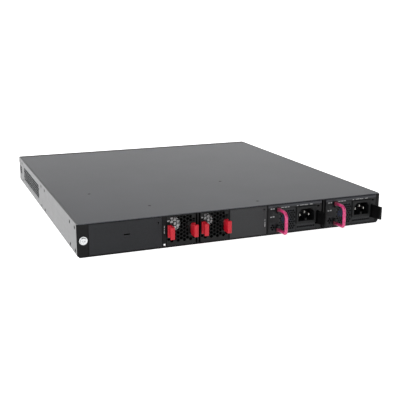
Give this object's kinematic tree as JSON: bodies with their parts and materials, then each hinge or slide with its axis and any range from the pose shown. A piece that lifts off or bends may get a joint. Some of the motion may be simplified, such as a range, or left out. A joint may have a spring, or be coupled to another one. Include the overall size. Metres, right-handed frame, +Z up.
{
  "type": "rackmount network switch",
  "caption": "One-unit rack switch with pull-out fan trays and power supplies at the rear, swinging bail handles, sprung latches and a port panel at the front.",
  "frame": {"origin": "middle of the chassis underside", "axes": "+Z up, +Y towards the rear face with the fans and power supplies, +X towards the side beside the ground screw; the ports face -Y"},
  "size_m": [0.44, 0.488, 0.0436],
  "materials": {
    "zinc_plated_steel": "satin",
    "cover_powder_coat": "fine texture",
    "black_paint": "matt",
    "grey_paint": "matt",
    "bright_screw": "bright",
    "light_lens": "clear",
    "tray_paint": "matt",
    "black_moulding": "moulded",
    "red_moulding": "moulded",
    "magenta_coating": "dipped",
    "blue_moulding": "moulded",
    "white_moulding": "moulded",
    "plated_pin": "plated",
    "cage_steel": "bright",
    "circuit_board": "solder mask",
    "heat_sink_aluminium": "extruded"
  },
  "bodies": {
    "chassis": {"base_tray": "zinc_plated_steel", "top_cover": "cover_powder_coat", "cover_screws": "black_paint", "ground_screw": "bright_screw", "rear_frame": "black_paint", "module_slot_cover": "black_paint", "middle_cover": "grey_paint", "status_light": "light_lens", "fan_bay_walls": "zinc_plated_steel", "fan_bay_divider": "black_paint", "psu_bay_walls": "zinc_plated_steel", "psu_bay_divider": "black_paint", "module_bay_wall": "zinc_plated_steel", "front_panel": "black_paint", "port_cage_1": "cage_steel", "port_cage_2": "cage_steel", "port_cage_3": "cage_steel", "service_jacks": "black_moulding", "usb_socket": "plated_pin", "port_light_pipes": "light_lens", "vent_screens": "black_paint", "main_board": "circuit_board", "board_standoffs": "bright_screw", "heat_sinks": "heat_sink_aluminium", "power_backplane": "circuit_board", "fan_backplane": "circuit_board"},
    "fan_tray_1": {"fan_1_tray": "tray_paint", "fan_1_grille": "black_paint", "fan_1_housing": "black_moulding", "fan_1_plug": "white_moulding"},
    "fan_rotor_1": {"fan_1_rotor": "black_moulding"},
    "fan_1_left_grip": {"fan_1_left_grip": "red_moulding"},
    "fan_1_right_grip": {"fan_1_right_grip": "red_moulding"},
    "fan_tray_2": {"fan_2_tray": "tray_paint", "fan_2_grille": "black_paint", "fan_2_housing": "black_moulding", "fan_2_plug": "white_moulding"},
    "fan_rotor_2": {"fan_2_rotor": "black_moulding"},
    "fan_2_left_grip": {"fan_2_left_grip": "red_moulding"},
    "fan_2_right_grip": {"fan_2_right_grip": "red_moulding"},
    "psu_1": {"psu_1_case": "tray_paint", "psu_1_face": "black_paint", "psu_1_vents": "black_paint", "psu_1_inlet": "black_moulding", "psu_1_inlet_pins": "plated_pin", "psu_1_fan_housing": "black_moulding", "psu_1_board": "circuit_board"},
    "psu_rotor_1": {"psu_1_fan_rotor": "blue_moulding"},
    "psu_1_bail": {"psu_1_bail": "magenta_coating"},
    "psu_1_latch": {"psu_1_latch": "black_moulding"},
    "psu_2": {"psu_2_case": "tray_paint", "psu_2_face": "black_paint", "psu_2_vents": "black_paint", "psu_2_inlet": "black_moulding", "psu_2_inlet_pins": "plated_pin", "psu_2_fan_housing": "black_moulding", "psu_2_board": "circuit_board"},
    "psu_rotor_2": {"psu_2_fan_rotor": "blue_moulding"},
    "psu_2_bail": {"psu_2_bail": "magenta_coating"},
    "psu_2_latch": {"psu_2_latch": "black_moulding"}
  },
  "joints": [
    {"name": "fan_1_slide", "type": "slide", "parent": "chassis", "child": "fan_tray_1", "axis": [0, 1, 0], "range_m": [0, 0.1]},
    {"name": "fan_1_spin", "type": "hinge", "parent": "fan_tray_1", "child": "fan_rotor_1", "pos_m": [0.0837, 0.2, 0.0217], "axis": [0, 1, 0], "continuous": true},
    {"name": "fan_1_left_pinch", "type": "hinge", "parent": "fan_tray_1", "child": "fan_1_left_grip", "pos_m": [0.0982, 0.22, 0.0221], "axis": [0, 0, 1], "range_deg": [0, 6], "stiffness_Nm_per_rad": 0.5},
    {"name": "fan_1_right_pinch", "type": "hinge", "parent": "fan_tray_1", "child": "fan_1_right_grip", "pos_m": [0.0692, 0.22, 0.0221], "axis": [0, 0, -1], "range_deg": [0, 6], "stiffness_Nm_per_rad": 0.5},
    {"name": "fan_2_slide", "type": "slide", "parent": "chassis", "child": "fan_tray_2", "axis": [0, 1, 0], "range_m": [0, 0.1]},
    {"name": "fan_2_spin", "type": "hinge", "parent": "fan_tray_2", "child": "fan_rotor_2", "pos_m": [0.0371, 0.2, 0.0217], "axis": [0, 1, 0], "continuous": true},
    {"name": "fan_2_left_pinch", "type": "hinge", "parent": "fan_tray_2", "child": "fan_2_left_grip", "pos_m": [0.0516, 0.22, 0.0221], "axis": [0, 0, 1], "range_deg": [0, 6], "stiffness_Nm_per_rad": 0.5},
    {"name": "fan_2_right_pinch", "type": "hinge", "parent": "fan_tray_2", "child": "fan_2_right_grip", "pos_m": [0.0226, 0.22, 0.0221], "axis": [0, 0, -1], "range_deg": [0, 6], "stiffness_Nm_per_rad": 0.5},
    {"name": "psu_1_slide", "type": "slide", "parent": "chassis", "child": "psu_1", "axis": [0, 1, 0], "range_m": [0, 0.2]},
    {"name": "psu_1_spin", "type": "hinge", "parent": "psu_1", "child": "psu_rotor_1", "pos_m": [-0.0677, 0.224, 0.0217], "axis": [0, 1, 0], "continuous": true},
    {"name": "psu_1_bail_swing", "type": "hinge", "parent": "psu_1", "child": "psu_1_bail", "pos_m": [-0.056, 0.2336, 0.0217], "axis": [0, 0, 1], "range_deg": [-15, 90]},
    {"name": "psu_1_latch_press", "type": "hinge", "parent": "psu_1", "child": "psu_1_latch", "pos_m": [-0.1185, 0.208, 0.0184], "axis": [0, 0, -1], "range_deg": [0, 4.5], "stiffness_Nm_per_rad": 0.8},
    {"name": "psu_2_slide", "type": "slide", "parent": "chassis", "child": "psu_2", "axis": [0, 1, 0], "range_m": [0, 0.2]},
    {"name": "psu_2_spin", "type": "hinge", "parent": "psu_2", "child": "psu_rotor_2", "pos_m": [-0.1576, 0.224, 0.0217], "axis": [0, 1, 0], "continuous": true},
    {"name": "psu_2_bail_swing", "type": "hinge", "parent": "psu_2", "child": "psu_2_bail", "pos_m": [-0.1459, 0.2336, 0.0217], "axis": [0, 0, 1], "range_deg": [-15, 90]},
    {"name": "psu_2_latch_press", "type": "hinge", "parent": "psu_2", "child": "psu_2_latch", "pos_m": [-0.2084, 0.208, 0.0184], "axis": [0, 0, -1], "range_deg": [0, 4.5], "stiffness_Nm_per_rad": 0.8}
  ]
}
